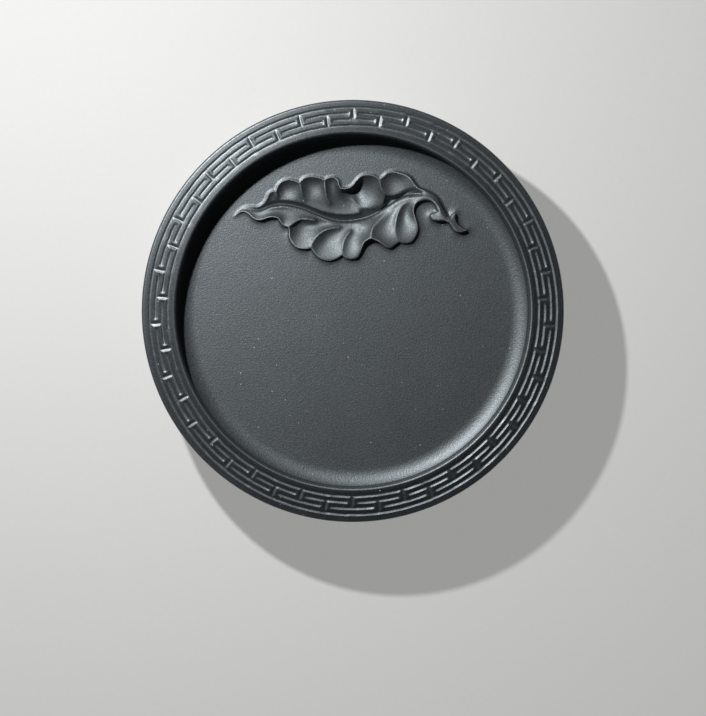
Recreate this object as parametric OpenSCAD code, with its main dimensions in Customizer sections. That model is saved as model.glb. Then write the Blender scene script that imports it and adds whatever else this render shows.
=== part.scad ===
// Round ink stone with a fret round its rim and a curled leaf carved in its pool.
// Millimetres, +Z up, origin at the centre of the foot. The leaf lies towards +Y.

/* [Stone] */
// Diameter of the round stone
stone_d = 89; // [85:0.5:100]
// Thickness from the foot to the rim's highest line
stone_h = 20; // [16:0.5:26]
// Fall of the rim's top towards its outer edge, in degrees
rim_fall = 7; // [2:0.5:10]
// Radius of the worn arris at the rim's outer edge
outer_arris_r = 0.8; // [0.4:0.1:1]
// Radius of the arris round the foot
foot_arris_r = 0.8; // [0.4:0.1:1.6]

/* [Ink pool] */
// Depth of the pool below the rim's highest line
pool_depth = 5.5; // [4.6:0.1:7]
// Radius of the shallow cove that the pool's floor rises in
cove_r = 6.8; // [4:0.1:8]
// Slope that the cove reaches, in degrees
cove_rise = 32; // [24:1:40]
// Radius of the corner between the cove and the pool's wall
corner_r = 0.55; // [0.3:0.05:1]
// Distance that the pool's wall leans outwards over its height
wall_lean = 0.25; // [0.1:0.05:0.6]
// Radius of the arris between the pool's wall and the rim
inner_arris_r = 0.45; // [0.2:0.05:0.5]

/* [Rim fret] */
// Number of interlocked T shapes round the rim
fret_units = 23; // [17:1:27]
// Width of a fret groove at half its depth
groove_w = 0.73; // [0.5:0.01:0.8]
// Width of the ridge between two grooves at half depth
ridge_w = 0.55; // [0.45:0.01:0.7]
// Depth of the fret grooves
groove_depth = 0.32; // [0.25:0.01:0.5]
// Slope of the groove walls away from upright, in degrees
groove_lean = 40; // [10:1:42]
// Turn of the fret clockwise from the leaf's axis, in degrees
fret_turn = 0.22; // [0:0.02:7.8]
// Width of the plain land outside the fret
outer_land = 1.42; // [1.2:0.02:2]
// Width of the plain land between the fret and the pool
inner_land = 0.8; // [0.7:0.02:1.4]

/* [Leaf] */
// Length of the leaf from its tip to the end of the twig
leaf_l = 48.6; // [44:0.2:52]
// Distance from the edge of the pool's floor in to the middle of the leaf
leaf_inset = 14.8; // [14:0.1:18]
// Height of the leaf's lower edge above the pool's floor
lower_edge_h = 0.9; // [0.8:0.05:1.3]
// Height of the leaf's upper edge above the pool's floor
upper_edge_h = 0.55; // [0.4:0.05:0.9]
// Height of the stem and its twig above the pool's floor
stem_h = 1.5; // [1.2:0.05:2]
// Depth below the pool's floor that the midrib sinks to in the leaf's middle
midrib_dip = 1.8; // [1.2:0.05:2.4]
// Depth of the channel on the midrib's upper side below the midrib
channel_depth = 0.95; // [0.5:0.05:1.2]
// Depth of the scoops that hollow the lower lobes
lower_scoop = 0.85; // [0.4:0.05:1]
// Depth of the scoops that hollow the upper lobes
upper_scoop = 0.9; // [0.6:0.05:1.2]
// Depth below the pool's floor of the eaten hole under the upper edge
hole_depth = 2.4; // [1.6:0.1:3]

/* [Hidden] */

// Steps that an arc of the revolved profile is divided into
arc_steps = 8;
// How far a cutter reaches past the surface that it cuts
past = 0.4;

stone_r = stone_d / 2;
floor_z = stone_h - pool_depth;

// The four groove rings, from the rim's outer edge inwards, and the pool's edge inside them
groove_pitch = groove_w + ridge_w;
ring_r = [for (i = [0:3]) stone_r - outer_land - groove_w / 2 - i * groove_pitch];
pool_r = ring_r[3] - groove_w / 2 - inner_land;
wall_top_r = pool_r - inner_arris_r;
wall_foot_r = wall_top_r - wall_lean;
corner_foot_r = wall_foot_r - corner_r * (1 - sin(cove_rise));
floor_r = corner_foot_r - cove_r * sin(cove_rise);
corner_z = floor_z + cove_r * (1 - cos(cove_rise)) + corner_r * cos(cove_rise);

// Height of the rim's sloping top at a distance r from the axis
function rim_z(r) = stone_h - (r - pool_r) * tan(rim_fall);

// Points on an arc in the revolved profile, from angle a to angle b
function arc(cx, cz, r, a, b) =
    [for (i = [0:arc_steps]) let (t = a + (b - a) * i / arc_steps) [cx + r * cos(t), cz + r * sin(t)]];

// An arc's points without the first, which the arc before it ends in
function after_first(points) = [for (i = [1:len(points) - 1]) points[i]];

unit_angle = 360 / fret_units;

// The leaf's middle
leaf_y = floor_r - leaf_inset;

// How far the leaf is rooted below the pool's floor, and how far its well stays short of that
root = midrib_dip + channel_depth + 0.6;
well_stop = 0.3;

// Steps along and across each lobe, and between the points of a ridge
lobe_steps = 6;
ridge_steps = 3;
bed_steps = 2;

// Height of a root or ridge that lies this share of the way from the stem's height to the dip
function sunk(share) = stem_h - share * (stem_h + midrib_dip);

// The two halves of the blade, as drawn from the tip to the stem. Each row starts a lobe with its point
// on the edge, its root, the sagitta of the edge up to the next row, the bend of the crest line, the
// crest's share of full height, the edge's share of the half's edge height, the scoop's share of its
// depth and the root's share of the midrib's dip.
lower_lobes = [
    [[-21.7, 1.9], [-21.3, 2.3], -0.9, 0, 1, 1.3, 0.3, 0.15],
    [[-17.4, 1.2], [-17.5, 3.0], 0.1, 0, 0.6, 1.6, 0.2, 0.25],
    [[-15.5, 0.9], [-15.0, 3.4], -0.4, 0, 0.4, 1.4, 0.4, 0.4],
    [[-13.5, -0.9], [-7.2, 1.2], -2.0, -0.9, 1, 1.1, 1.1, 0.75],
    [[-8.6, -5.3], [-2.2, 0.0], -1.8, -1.3, 1, 1.0, 1.1, 0.95],
    [[-2.1, -6.7], [1.2, 0.0], -1.6, -1.0, 1, 1.1, 1.0, 1],
    [[1.9, -5.5], [3.9, 0.8], 0.5, -0.7, 0.1, 1.5, 0.9, 1],
    [[3.9, -3.3], [6.6, 2.3], -1.5, -0.8, 1, 2.2, 1.1, 0.9],
    [[9.8, -3.9], [12.0, 4.8], -1.4, -1.8, 1, 1.2, 1.1, 0.4],
    [[13.7, -1.5], [12.5, 4.8], 0, -0.2, 0.1, 0.95, 0.9, 0.35],
    [[12.9, 2.8], [13.2, 4.8], 0.3, 0, 0.5, 1.2, 0.3, 0.25],
    [[14.0, 4.4], [14.2, 5.2], 0, 0, 1, 1.3, 0, 0.15],
];
upper_lobes = [
    [[-21.5, 3.1], [-21.1, 2.7], -0.2, 0, 1, 1, 0, 0.2],
    [[-19.3, 3.4], [-19.0, 3.0], -0.1, 0, 0.8, 1, 0.2, 0.3],
    [[-17.3, 6.4], [-17.1, 3.8], 0.1, 0, 0.4, 1, 0.3, 0.4],
    [[-16.2, 6.6], [-15.4, 4.4], 1.4, 0, 1, 1, 0.9, 0.5],
    [[-11.1, 8.4], [-9.3, 4.2], 1.0, 0.1, 1, 1, 1, 0.7],
    [[-5.9, 9.0], [-4.5, 2.9], 1.3, 0.2, 1, 1, 1, 0.85],
    [[-2.8, 7.6], [-2.0, 2.4], -0.3, 0, 0.3, 1.8, 1, 0.95],
    [[-1.5, 7.2], [0.3, 2.4], -0.3, 0, 1, 2, 1.3, 1],
    [[0.5, 8.4], [2.0, 3.3], 1.3, 0, 0.2, 1.5, 1.6, 0.65],
    [[5.6, 9.2], [6.5, 5.2], 1.3, 0, 1, 1.1, 1, 0.6],
    [[11.8, 9.5], [11.1, 6.8], -0.2, 0, 0.2, 1.3, 0.7, 0.45],
    [[14.6, 6.8], [14.2, 6.3], 0, 0, 1, 1.5, 0, 0.2],
];

// Centre line of the midrib, stem and twig, each point as x, y, half width and share of the dip
midrib = [
    [-24.5, 1.5, 0.12, 0.4], [-23.0, 2.4, 0.4, 0.25], [-21.1, 2.4, 0.5, 0.15], [-19.0, 2.4, 0.5, 0.15],
    [-16.9, 3.4, 0.5, 0.3], [-14.4, 3.7, 0.5, 0.4], [-11.0, 3.2, 0.45, 0.55], [-6.8, 1.4, 0.45, 0.75],
    [-3.4, 0.2, 0.45, 0.9], [-0.5, 0.0, 0.45, 1], [3.7, 1.1, 0.45, 1], [7.5, 3.2, 0.45, 0.85],
    [10.4, 4.9, 0.5, 0.6], [13.4, 5.5, 0.7, 0.2], [15.9, 5.2, 0.9, 0.05], [17.7, 3.9, 0.85, 0],
    [18.8, 2.3, 0.6, 0], [19.6, 1.0, 0.7, 0], [21.0, -0.1, 1.0, 0], [22.4, -1.4, 1.0, 0.03],
    [23.2, -2.2, 0.8, 0.06],
];
// The two broken shoots where the stem leaves its twig
left_shoot = [[19.6, 1.1, 0.6, 0.05], [18.0, 1.4, 0.45, 0.05], [16.7, 1.5, 0.3, 0.1]];
right_shoot = [[20.2, 0.3, 0.7, 0.05], [21.0, 1.2, 0.5, 0.05], [21.7, 1.9, 0.3, 0.1]];

// Half section of a ridge from its foot to its crown, as shares of its half width and its height
ridge_section = [[1.3, 0], [1.1, 0.35], [0.8, 0.75], [0.4, 0.95]];

// The midrib's points that the channel runs between, and how far it reaches to both sides
channel_span = [3, 13];
channel_reach = [-0.3, 2.8];
// Least depth of the channel's bed below the pool's floor, and how far a ridge's sides reach below it
least_depth = 0.15;
ridge_seat = 0.12;

// Length of the leaf as its points are drawn, which leaf_l stretches
drawn_l = 48.5;
// Share of the way from root to edge that the well is cut to
well_share = 0.96;
// The eaten hole, as x, y and radius
hole = [0.2, 6.6, 1.9];

// The unit vector to the left of the way from a to b
function left_of(a, b) = let (d = b - a, l = norm([d[0], d[1]])) [-d[1] / l, d[0] / l];

// A point on the arc from a to b that bulges to the left by its sagitta s
function on_arc(a, b, s, t) =
    let (
        half = norm(b - a) / 2,
        n = left_of(a, b),
        r = (half * half + s * s) / (2 * max(abs(s), 0.001)),
        side = s < 0 ? -1 : 1,
        spread = asin(min(half / r, 1)),
        turn = spread * (2 * t - 1),
        middle = (a + b) / 2 - n * side * (r - abs(s))
    )
    middle + n * side * r * cos(turn) + [n[1], -n[0]] * r * sin(turn);

// How far a scoop's deepest point moves to the edge, and how quickly a crest falls off into its scoops
scoop_skew = 1.4;
crest_fall = 2.2;

// Share of the scoop's depth at v, from the root at 0 to the edge at 1
function hollow(v) = sin(180 * pow(v, scoop_skew));

// A value of two rows at t between them
function between(a, b, column, t) = a[column] + t * (b[column] - a[column]);

// Where the blade's surface lies in plan, at t along the lobe's edge and v out from its root
function blade_plan(a, b, t, v) =
    let (
        edge = on_arc(a[0], b[0], a[2], t),
        foot = between(a, b, 1, t)
    )
    foot + v * (edge - foot) + 4 * v * (1 - v) * between(a, b, 3, t) * left_of(foot, edge);

// A point of the blade in the lobe from row a to row b
function blade_point(a, b, t, v, edge_h, depth) =
    let (
        plan = blade_plan(a, b, t, v),
        rim = sunk(between(a, b, 7, t)) * (1 - v) + edge_h * between(a, b, 5, t) * v,
        scoop = 1 - a[4] * pow(1 - t, crest_fall) - b[4] * pow(t, crest_fall)
    )
    [plan[0], plan[1], rim - depth * a[6] * hollow(v) * max(scoop, 0)];

// A point on the smooth curve through the points p, between points i and i + 1
function on_curve(p, i, t) =
    let (
        a = p[max(i - 1, 0)],
        b = p[i],
        c = p[i + 1],
        d = p[min(i + 2, len(p) - 1)]
    )
    b + t * (c - a) / 2 + t * t * (a - 2.5 * b + 2 * c - d / 2)
        + t * t * t * (1.5 * (b - c) + (d - a) / 2);

// The curve's points at n steps a span, the first of them this share of a step along
function curve(p, n, start = 0) =
    concat([for (i = [0:len(p) - 2], j = [0:n - 1]) on_curve(p, i, (j + start) / n)], [p[len(p) - 1]]);

// Joins rings of equal length into one closed solid
module skin(rings) {
    n = len(rings[0]);
    last = len(rings) - 1;
    sides = [
        for (i = [0:last - 1], j = [0:n - 1])
            let (a = i * n + j, b = i * n + (j + 1) % n)
            each [[a, b + n, b], [a, a + n, b + n]]
    ];
    caps = [[for (j = [0:n - 1]) j], [for (j = [n - 1:-1:0]) last * n + j]];
    polyhedron(points = [for (r = rings) each r], faces = concat(sides, caps));
}

// Unit vector to the left of a curve at its point i
function left_at(c, i) = left_of(c[max(i - 1, 0)], c[min(i + 1, len(c) - 1)]);

// A point at a distance to the left of a curve's point i, at the height z
function beside(c, i, distance, z) =
    let (n = left_at(c, i))
    [c[i][0] + n[0] * distance, c[i][1] + n[1] * distance, z];

// Height of the channel's bed beside a ridge of the height h
function bed_z(h) = min(-least_depth, h - channel_depth);

// A rounded ridge along the points p, rooted below the floor
module ridge(p) {
    c = curve(p, ridge_steps);
    count = len(ridge_section);
    mirrored = [for (k = [count - 1:-1:0]) [-ridge_section[k][0], ridge_section[k][1]]];
    section = concat(ridge_section, [[0, 1]], mirrored);
    function station(i) =
        let (wide = c[i][2], h = sunk(c[i][3]), foot = bed_z(h) - ridge_seat, side = section[0][0] * wide)
        concat(
            [beside(c, i, side, -root)],
            [for (s = section) beside(c, i, s[0] * wide, foot + s[1] * (h - foot))],
            [beside(c, i, -side, -root)]
        );
    skin([for (i = [0:len(c) - 1]) station(i)]);
}

// The bed of the channel between the midrib and the blade's upper half
module channel_bed() {
    c = curve([for (i = [channel_span[0]:channel_span[1]]) midrib[i]], bed_steps, 0.5);
    function bed(i) = bed_z(sunk(c[i][3]));
    skin([
        for (i = [0:len(c) - 1]) [
            beside(c, i, channel_reach[1], -root),
            beside(c, i, channel_reach[1], bed(i)),
            beside(c, i, channel_reach[0], bed(i)),
            beside(c, i, channel_reach[0], -root)
        ]
    ]);
}

// Half of the blade, hollowed lobe by lobe between the crests that part them
module half_blade(lobes, edge_h, depth, edge_on_left) {
    function station(a, b, t) = [
        for (j = [0:lobe_steps])
            let (v = j / lobe_steps)
            blade_point(a, b, t, edge_on_left ? 1 - v : v, edge_h, depth)
    ];
    function under(p) = [p[0], p[1], -root];
    function rooted(s) = concat(s, [under(s[lobe_steps]), under(s[0])]);
    last = len(lobes) - 1;
    skin(concat(
        [
            for (i = [0:last - 1], j = [0:lobe_steps - 1])
                rooted(station(lobes[i], lobes[i + 1], j / lobe_steps))
        ],
        [rooted(station(lobes[last - 1], lobes[last], 1))]
    ));
}

module leaf() {
    resize([leaf_l, 0, 0], auto = [false, true, false]) {
        half_blade(lower_lobes, lower_edge_h, lower_scoop, false);
        half_blade(upper_lobes, upper_edge_h, upper_scoop, true);
        channel_bed();
        ridge(midrib);
        ridge(left_shoot);
        ridge(right_shoot);
    }
}

// Line just inside the edge of half the blade, from the tip to the stem
function well_side(lobes) = [
    for (i = [0:len(lobes) - 2], j = [0:lobe_steps - 1])
        blade_plan(lobes[i], lobes[i + 1], j / lobe_steps, well_share) * leaf_l / drawn_l
];

// Cuts the floor open where the leaf's blade is carved down into it
module leaf_well() {
    lower = well_side(lower_lobes);
    upper = well_side(upper_lobes);
    translate([0, 0, well_stop - root])
        linear_extrude(root + past)
            polygon(concat(lower, [for (k = [len(upper) - 1:-1:0]) upper[k]]));
}

// Section of the stone from its axis to its side
module stone_profile() {
    side_top_z = rim_z(stone_r - outer_arris_r) - outer_arris_r;
    polygon(concat(
        [[0, 0]],
        arc(stone_r - foot_arris_r, foot_arris_r, foot_arris_r, -90, 0),
        arc(stone_r - outer_arris_r, side_top_z, outer_arris_r, 0, 90 - rim_fall),
        arc(pool_r, stone_h - inner_arris_r, inner_arris_r, 90 - rim_fall, 180),
        arc(wall_foot_r - corner_r, corner_z, corner_r, 0, cove_rise - 90),
        after_first(arc(floor_r, floor_z + cove_r, cove_r, cove_rise - 90, -90)),
        [[0, floor_z]]
    ));
}

// Half the width of a groove at a height z above its bottom
function half_groove(z) = groove_w / 2 + (z - groove_depth / 2) * tan(groove_lean);

// Section of a groove cutter, centred on x = 0 with its bottom at y = 0
function groove_section() =
    let (top = groove_depth + past)
    [[-half_groove(0), 0], [half_groove(0), 0], [half_groove(top), top], [-half_groove(top), top]];

// A groove along an arc of the ring with this radius, centred on the angle given
module ring_groove(r, at, spread) {
    rotate(at - spread / 2)
        rotate_extrude(angle = spread, $fn = 180)
            translate([r, rim_z(r) - groove_depth]) polygon(groove_section());
}

// A groove across the rim between two rings, at the angle given
module cross_groove(r_in, r_out, at) {
    drop = rim_z(r_in) - rim_z(r_out);
    run = norm([r_out - r_in, drop]);
    rotate(at)
        translate([r_in, 0, rim_z(r_in) - groove_depth])
            rotate([0, rim_fall, 0])
                rotate([90, 0, 90])
                    linear_extrude(run) polygon(groove_section());
}

// Angle of a ring segment that stops one ridge short of the cross grooves on both sides
function segment_angle(r) = unit_angle - 2 * (groove_w / 2 + ridge_w) / r * 180 / PI;

// The interlocked fret: T shapes hang from the outer ring and stand on the inner one, half a unit apart
module fret_grooves() {
    for (r = [ring_r[0], ring_r[3]]) ring_groove(r, 0, 360);
    for (i = [0:fret_units - 1]) {
        at = 90 - fret_turn - i * unit_angle;
        cross_groove(ring_r[2], ring_r[0], at);
        ring_groove(ring_r[2], at, segment_angle(ring_r[2]));
        cross_groove(ring_r[3], ring_r[1], at + unit_angle / 2);
        ring_groove(ring_r[1], at + unit_angle / 2, segment_angle(ring_r[1]));
    }
}

module ink_stone() {
    color("#50565a") difference() {
        union() {
            difference() {
                rotate_extrude($fn = 180) stone_profile();
                translate([0, leaf_y, floor_z]) leaf_well();
            }
            translate([0, leaf_y, floor_z]) leaf();
        }
        fret_grooves();
        translate([hole[0], leaf_y + hole[1], floor_z + hole[2] - hole_depth]) sphere(hole[2], $fn = 48);
    }
}

ink_stone();
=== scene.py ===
"""Round ink stone with a fret rim and a leaf carved into its pool.

Lengths are in millimetres until a mesh is made. The stone stands on z = 0, and the leaf lies
towards +Y with its tip towards -X.
"""
import logging
import math
from dataclasses import dataclass, field
from enum import Enum
from typing import Any

import bmesh
import bpy
import numpy as np
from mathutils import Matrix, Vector
from mathutils.geometry import delaunay_2d_cdt
from mathutils.kdtree import KDTree


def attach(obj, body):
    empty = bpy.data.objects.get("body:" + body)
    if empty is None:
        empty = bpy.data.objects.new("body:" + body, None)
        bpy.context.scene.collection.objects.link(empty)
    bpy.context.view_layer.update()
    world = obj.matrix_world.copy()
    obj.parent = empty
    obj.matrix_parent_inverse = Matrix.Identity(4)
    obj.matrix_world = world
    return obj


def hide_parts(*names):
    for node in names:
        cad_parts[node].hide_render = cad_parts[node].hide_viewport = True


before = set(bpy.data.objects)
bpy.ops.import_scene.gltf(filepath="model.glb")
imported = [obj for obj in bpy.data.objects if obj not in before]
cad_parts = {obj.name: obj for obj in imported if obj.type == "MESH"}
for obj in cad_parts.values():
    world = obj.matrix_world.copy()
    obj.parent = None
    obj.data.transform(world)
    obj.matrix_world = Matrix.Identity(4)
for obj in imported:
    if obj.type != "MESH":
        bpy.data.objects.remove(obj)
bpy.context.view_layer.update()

MM = 0.001
FULL_TURN = 2 * math.pi
WELD_GAP = 0.004
Array = np.ndarray
Line = tuple[tuple[float, float, float], ...]
Colour = tuple[float, float, float]

log = logging.getLogger("ink_stone")


def points_of(mesh: bpy.types.Mesh) -> Array:
    """Reads a mesh's points in millimetres."""
    return np.array([v.co for v in mesh.vertices]) / MM


def around(angles: Array, radius: float) -> Array:
    """Places points on a circle, as rows of x and y."""
    return np.stack([np.cos(angles), np.sin(angles)], 1) * radius


def from_zero(ring: Array, angles: Array) -> tuple[Array, Array]:
    """Orders a closed ring by angle.

    Args:
        ring: the numbers of its points.
        angles: their angles in radians.

    Returns:
        The ring from the angle zero on, and its angles with the first repeated a turn later.
    """
    angles = np.mod(angles, FULL_TURN)
    order = np.argsort(angles)
    angles = angles[order]
    return ring[order], np.append(angles, angles[0] + FULL_TURN)


@dataclass
class Shell:
    """Sheets of faces with matching borders, which are welded into one closed surface."""

    points: list[Array] = field(default_factory=list)
    faces: list[tuple[int, ...]] = field(default_factory=list)
    count: int = 0

    def add(self, points: Array) -> Array:
        """Adds points.

        Args:
            points: rows of x, y, z in millimetres.

        Returns:
            The numbers of the new points.
        """
        self.points.append(np.asarray(points, float))
        numbers = np.arange(self.count, self.count + len(points))
        self.count += len(points)
        return numbers

    def ring(self, angles: Array, radius: float, height: float) -> Array:
        """Adds a level ring of points.

        Args:
            angles: the points' angles in radians, anticlockwise from +X.
            radius: distance from the stone's axis.
            height: height above the foot.

        Returns:
            The numbers of the new points.
        """
        return self.add(np.column_stack([around(angles, radius), np.full(len(angles), height)]))

    def loft(self, rings: list[Array]) -> None:
        """Joins closed rings of as many points, each to the next, by quads.

        Args:
            rings: the rings in their order along the profile.
        """
        for first, second in zip(rings, rings[1:]):
            for a, b, c, d in zip(first, np.roll(first, -1), np.roll(second, -1), second):
                self.faces.append((int(a), int(b), int(c), int(d)))

    def stitch(self, first: Array, first_angles: Array, second: Array, second_angles: Array) -> None:
        """Joins two closed rings of different counts by triangles.

        Args:
            first: the ring that comes first along the profile.
            first_angles: the angles of its points in radians.
            second: the next ring.
            second_angles: the angles of its points in radians.
        """
        first, ahead_first = from_zero(first, first_angles)
        second, ahead_second = from_zero(second, second_angles)
        i = j = 0
        n, m = len(first), len(second)
        while i < n or j < m:
            a, b = int(first[i % n]), int(second[j % m])
            if j >= m or (i < n and ahead_first[i + 1] <= ahead_second[j + 1]):
                self.faces.append((a, int(first[(i + 1) % n]), b))
                i += 1
            else:
                self.faces.append((a, int(second[(j + 1) % m]), b))
                j += 1

    def fan(self, ring: Array, centre: int) -> None:
        """Closes a ring onto one point that comes before it along the profile.

        Args:
            ring: the closed ring.
            centre: the number of the point.
        """
        for a, b in zip(ring, np.roll(ring, -1)):
            self.faces.append((centre, int(b), int(a)))

    def welded(self, name: str) -> bpy.types.Mesh:
        """Makes the mesh and merges the borders.

        Args:
            name: the mesh's name.

        Returns:
            The closed mesh, in metres.
        """
        mesh = bpy.data.meshes.new(name)
        mesh.from_pydata((np.concatenate(self.points) * MM).tolist(), [], self.faces)
        work = bmesh.new()
        work.from_mesh(mesh)
        bmesh.ops.remove_doubles(work, verts=work.verts, dist=WELD_GAP * MM)
        work.to_mesh(mesh)
        work.free()
        return mesh


@dataclass(frozen=True)
class Waver:
    """A smooth, repeatable unevenness, as a sum of slow waves in many directions."""

    length: float
    seed: int
    waves: int = 14
    stretch: tuple[float, float] = (0.6, 1.5)

    def at(self, points: Array) -> Array:
        """Reads the unevenness.

        Args:
            points: rows of coordinates in millimetres.

        Returns:
            One value for each point, mostly between -1 and 1.
        """
        dice = np.random.default_rng(self.seed)
        ways = dice.normal(size=(self.waves, points.shape[1]))
        ways /= np.linalg.norm(ways, axis=1)[:, None]
        ways *= (FULL_TURN / self.length) * dice.uniform(*self.stretch, self.waves)[:, None]
        starts = dice.uniform(0, FULL_TURN, self.waves)
        return np.sin(points @ ways.T + starts).sum(1) / math.sqrt(self.waves)


def smooth_line(line: Line, step: float) -> Array:
    """Draws a smooth curve through a few points.

    Args:
        line: points with x, y and height.
        step: the distance between samples.

    Returns:
        The samples, both ends included.
    """
    knots = np.array(line, float)
    knots = np.vstack([2 * knots[0] - knots[1], knots, 2 * knots[-1] - knots[-2]])
    gaps = np.sqrt(np.linalg.norm(np.diff(knots, axis=0), axis=1))
    times = np.concatenate([[0.0], np.cumsum(gaps)])
    samples = [knots[1:2]]
    for k in range(1, len(knots) - 2):
        p0, p1, p2, p3 = knots[k - 1:k + 3]
        t0, t1, t2, t3 = times[k - 1:k + 3]
        steps = max(1, round(float(np.linalg.norm((p2 - p1)[:2])) / step))
        t = np.linspace(t1, t2, steps + 1)[1:, None]
        a1 = (t1 - t) / (t1 - t0) * p0 + (t - t0) / (t1 - t0) * p1
        a2 = (t2 - t) / (t2 - t1) * p1 + (t - t1) / (t2 - t1) * p2
        a3 = (t3 - t) / (t3 - t2) * p2 + (t - t2) / (t3 - t2) * p3
        b1 = (t2 - t) / (t2 - t0) * a1 + (t - t0) / (t2 - t0) * a2
        b2 = (t3 - t) / (t3 - t1) * a2 + (t - t1) / (t3 - t1) * a3
        samples.append((t2 - t) / (t2 - t1) * b1 + (t - t1) / (t2 - t1) * b2)
    return np.vstack(samples)


def hex_points(reach: float, step: float) -> Array:
    """Fills a square with points in rows that are half a step apart from each other.

    Args:
        reach: half the square's side, centred on the origin.
        step: the distance between neighbours.

    Returns:
        The points' x and y.
    """
    rows = np.arange(-reach, reach, step * math.sqrt(0.75))
    columns = np.arange(-reach, reach, step)
    x, y = np.meshgrid(columns, rows)
    x[1::2] += step / 2
    return np.stack([x.ravel(), y.ravel()], 1)


def inside(points: Array, border: Array) -> Array:
    """Tells which points lie inside a closed border.

    Args:
        points: rows of x and y.
        border: the border's corners in order.

    Returns:
        One True or False for each point.
    """
    result = np.zeros(len(points), bool)
    ends = np.roll(border, -1, axis=0)
    for (ax, ay), (bx, by) in zip(border, ends):
        if ay == by:
            continue
        crosses = (points[:, 1] > ay) != (points[:, 1] > by)
        result ^= crosses & (points[:, 0] < (bx - ax) * (points[:, 1] - ay) / (by - ay) + ax)
    return result


def nearest(points: Array, marks: Array) -> tuple[Array, Array]:
    """Finds the nearest mark to each point.

    Args:
        points: rows of x and y.
        marks: rows of x and y.

    Returns:
        The marks' numbers and the distances.
    """
    tree = KDTree(len(marks))
    for number, mark in enumerate(marks):
        tree.insert((mark[0], mark[1], 0.0), number)
    tree.balance()
    found = [tree.find((p[0], p[1], 0.0))[1:] for p in points]
    return np.array([f[0] for f in found]), np.array([f[1] for f in found])


class Membrane:
    """A triangulated sheet that is stretched between points of known height."""

    LEAST_PULL = 0.01
    MOST_PULL = 10
    SETTLED = 1e-13

    def __init__(self, points: Array, triangles: Array) -> None:
        """Works out how strongly neighbouring points pull on each other.

        Args:
            points: rows of x and y.
            triangles: rows of three point numbers.
        """
        self.size = len(points)
        starts, ends, pulls = [], [], []
        self.area = np.zeros(self.size)
        for a, b, c in ((0, 1, 2), (1, 2, 0), (2, 0, 1)):
            apex, left, right = (triangles[:, k] for k in (a, b, c))
            u, v = points[left] - points[apex], points[right] - points[apex]
            cross = np.abs(u[:, 0] * v[:, 1] - u[:, 1] * v[:, 0]) + 1e-12
            pull = np.clip((u * v).sum(1) / cross / 2, self.LEAST_PULL, self.MOST_PULL)
            starts += [left, right]
            ends += [right, left]
            pulls += [pull, pull]
            self.area += np.bincount(apex, cross / 6, self.size)
        self.starts, self.ends = np.concatenate(starts), np.concatenate(ends)
        self.pulls = np.concatenate(pulls)
        self.total = np.bincount(self.starts, self.pulls, self.size)

    def stiffness(self, heights: Array) -> Array:
        """Gives the pull on each point."""
        drawn = np.bincount(self.starts, self.pulls * heights[self.ends], self.size)
        return self.total * heights - drawn

    def solve(self, known: Array, held: Array, load: Array | float, rounds: int = 900) -> Array:
        """Lets the free points settle.

        Args:
            known: heights, of which those of the held points count.
            held: True where a point keeps its height.
            load: how strongly the free points are pushed up.
            rounds: the most steps that the solver takes.

        Returns:
            The height of each point.
        """
        free = ~held
        heights = np.where(held, known, 0.0)
        left = np.where(free, load * self.area - self.stiffness(heights), 0.0)
        scale = 1 / np.maximum(self.total, 1e-9)
        push = scale * left
        force = float(left @ push)
        for _ in range(rounds):
            if force < self.SETTLED:
                break
            pulled = np.where(free, self.stiffness(push), 0.0)
            share = force / float(push @ pulled)
            heights += share * push
            left -= share * pulled
            eased = scale * left
            next_force = float(left @ eased)
            push = eased + next_force / force * push
            force = next_force
        return heights

    def eased(self, heights: Array, share: Array, rounds: int) -> Array:
        """Softens the sheet by moving each point towards its neighbours' mean.

        Args:
            heights: the height of each point.
            share: how far each point moves in a round, from 0 to 1.
            rounds: how often.

        Returns:
            The softened heights.
        """
        for _ in range(rounds):
            mean = np.bincount(self.starts, self.pulls * heights[self.ends], self.size)
            heights = heights + share * (mean / np.maximum(self.total, 1e-9) - heights)
        return heights


@dataclass(frozen=True)
class StoneForm:
    """The sizes that the parts of the stone share."""

    outer_radius: float = 44.5
    height: float = 20.0
    rim_peak_radius: float = 37.71
    rim_fall: float = math.tan(math.radians(7))
    outer_arris: float = 0.55
    foot_arris: float = 0.8
    inner_arris: float = 0.55
    wall_top_radius: float = 37.26
    wall_foot_radius: float = 37.16
    cove: float = 6.2
    cove_rise: float = math.radians(34)
    corner: float = 0.4
    floor_height: float = 14.5
    columns: int = 360

    @property
    def fall_angle(self) -> float:
        """Slope of the rim's top in radians."""
        return math.atan(self.rim_fall)

    @property
    def floor_radius(self) -> float:
        """Radius at which the cove runs out into the flat floor."""
        corner_foot = self.wall_foot_radius - self.corner * (1 - math.sin(self.cove_rise))
        return corner_foot - self.cove * math.sin(self.cove_rise)

    def pool_wall(self, corner_steps: int, cove_steps: int) -> list[tuple[float, float]]:
        """Follows the pool's side from the foot of its wall down to the flat floor.

        Args:
            corner_steps: steps round the tight corner under the wall.
            cove_steps: steps along the shallow cove.

        Returns:
            The radius and height of each point.
        """
        cove_middle = self.floor_height + self.cove
        corner_middle = cove_middle - (self.cove - self.corner) * math.cos(self.cove_rise)
        points = []
        for k in range(corner_steps + 1):
            slope = math.pi / 2 + (self.cove_rise - math.pi / 2) * k / corner_steps
            points.append((self.wall_foot_radius - self.corner * (1 - math.sin(slope)),
                           corner_middle - self.corner * math.cos(slope)))
        for k in range(1, cove_steps + 1):
            slope = self.cove_rise * (1 - k / cove_steps)
            points.append((self.floor_radius + self.cove * math.sin(slope),
                           cove_middle - self.cove * math.cos(slope)))
        return points

    @property
    def even_angles(self) -> Array:
        """Angles of the columns away from the fret."""
        return np.arange(self.columns) * FULL_TURN / self.columns

    def rim_height(self, radius: Array | float) -> Array | float:
        """Height of the uncut rim at a radius."""
        return self.height - (np.asarray(radius) - self.rim_peak_radius) * self.rim_fall


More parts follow.
